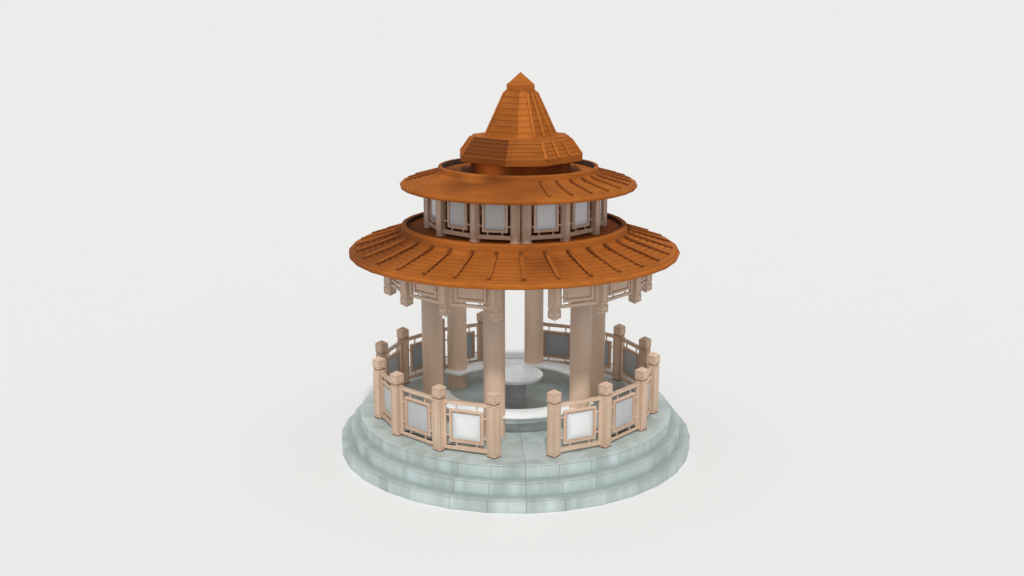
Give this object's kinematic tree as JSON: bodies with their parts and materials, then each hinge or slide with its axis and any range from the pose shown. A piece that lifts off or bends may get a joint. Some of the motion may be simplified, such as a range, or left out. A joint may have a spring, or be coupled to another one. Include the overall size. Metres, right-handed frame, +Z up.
{
  "type": "chinese pavilion",
  "caption": "Round garden pavilion with a stepped stone base, a bench in two arcs and a round table, columns, paneled balustrade and two tiered round roofs under a faceted spire.",
  "frame": {"origin": "middle of the underside of the stone base, on the ground", "axes": "+Z up, -Y out through the open front bay, +X to the right seen from the front"},
  "size_m": [6.26, 6.26, 6.563],
  "materials": {
    "base_stone": "honed",
    "warm_stone": "smooth",
    "column_stone": "smooth",
    "white_stone": "polished",
    "dark_granite": "honed",
    "pane": "polished",
    "roof_tile": "satin"
  },
  "bodies": {
    "root": {"plinth_lower_tier": "base_stone", "plinth_middle_tier": "base_stone", "plinth_top_tier": "base_stone", "column_1": "column_stone", "column_2": "column_stone", "column_3": "column_stone", "column_4": "column_stone", "column_5": "column_stone", "column_6": "column_stone", "bench_slab": "white_stone", "table_top": "white_stone", "table_pedestal": "dark_granite", "balustrade_posts_left": "warm_stone", "balustrade_frames_left": "warm_stone", "balustrade_posts_right": "warm_stone", "balustrade_frames_right": "warm_stone", "balustrade_infills": "pane", "frieze_posts_left": "warm_stone", "frieze_frames_left": "warm_stone", "frieze_posts_right": "warm_stone", "frieze_frames_right": "warm_stone", "frieze_infills": "warm_stone", "storey_posts": "warm_stone", "storey_frames": "warm_stone", "storey_infills": "pane", "lower_roof_soffit": "roof_tile", "lower_roof_eave": "roof_tile", "lower_roof_skirt": "roof_tile", "lower_roof_collar": "roof_tile", "lower_roof_deck": "roof_tile", "lower_roof_ribs": "roof_tile", "upper_roof_soffit": "roof_tile", "upper_roof_eave": "roof_tile", "upper_roof_skirt": "roof_tile", "upper_roof_collar": "roof_tile", "upper_roof_deck": "roof_tile", "upper_roof_ribs": "roof_tile", "spire_neck": "roof_tile", "spire_eave": "roof_tile", "spire_tier": "roof_tile", "spire_tier_ribs": "roof_tile", "spire_peak": "roof_tile", "spire_peak_ribs": "roof_tile", "spire_cap": "roof_tile"}
  },
  "joints": []
}
